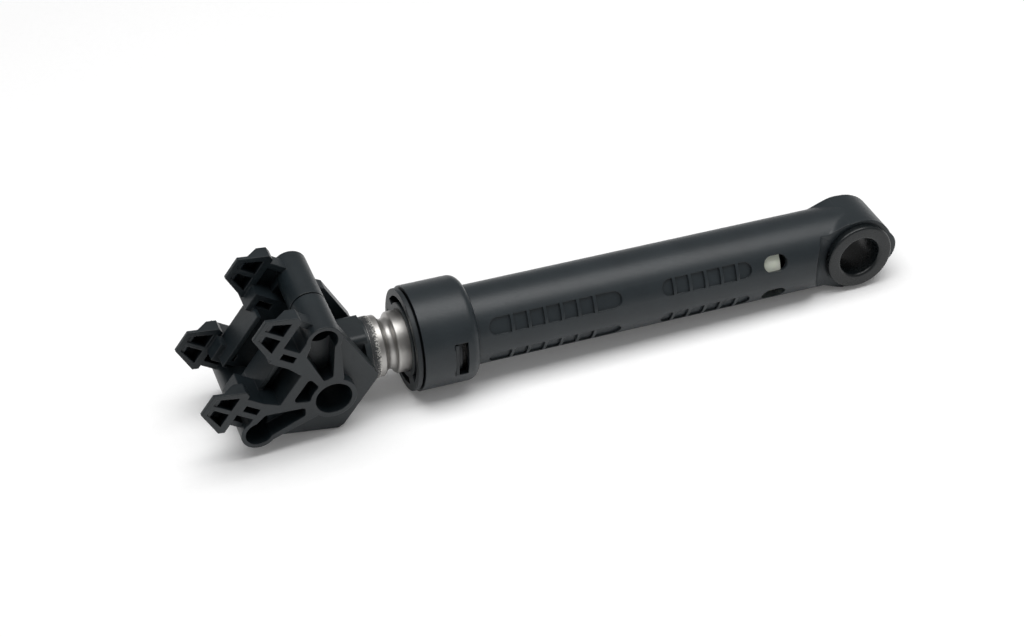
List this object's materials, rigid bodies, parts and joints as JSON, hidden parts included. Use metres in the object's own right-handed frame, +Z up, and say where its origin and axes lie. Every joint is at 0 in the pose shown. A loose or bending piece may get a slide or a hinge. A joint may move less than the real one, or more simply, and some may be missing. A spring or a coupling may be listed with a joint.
{
  "type": "washing machine shock absorber",
  "caption": "Friction shock absorber: moulded barrel with a cross eye, steel tube rod held by a foam lining, and a ribbed snap-in bracket that pivots on the rod's head",
  "frame": {"origin": "centre of the bore of the eye bush", "axes": "X along the rod, from the bracket to the eye; Y along the eye bore; Z up with the part lying at rest"},
  "size_m": [0.2677, 0.0463, 0.0614],
  "materials": {
    "barrel_plastic": "satin moulded black",
    "cap_plastic": "satin moulded black",
    "head_plastic": "satin moulded black",
    "bracket_plastic": "satin moulded black",
    "bush_rubber": "smooth black",
    "lining_foam": "greased open foam",
    "natural_plastic": "natural moulded",
    "zinc_steel": "bright zinc plated"
  },
  "bodies": {
    "barrel": {"barrel": "barrel_plastic", "eye_bush": "bush_rubber", "guide_cap": "cap_plastic", "friction_lining": "lining_foam"},
    "guide": {"guide_bush": "natural_plastic"},
    "rod": {"piston_rod": "zinc_steel", "rod_head": "head_plastic"},
    "bracket": {"bracket_front": "bracket_plastic", "bracket_rear": "bracket_plastic"}
  },
  "joints": [
    {"name": "rod_slide", "type": "slide", "parent": "barrel", "child": "guide", "axis": [-1, 0, 0], "range_m": [-0.007, 0.1]},
    {"name": "rod_turn", "type": "hinge", "parent": "guide", "child": "rod", "pos_m": [-0.0405, 0, 0], "axis": [1, 0, 0], "continuous": true},
    {"name": "bracket_pivot", "type": "hinge", "parent": "rod", "child": "bracket", "pos_m": [-0.2056, 0, 0], "axis": [0, 0.9962, 0.0872], "range_deg": [-108, 42]}
  ]
}
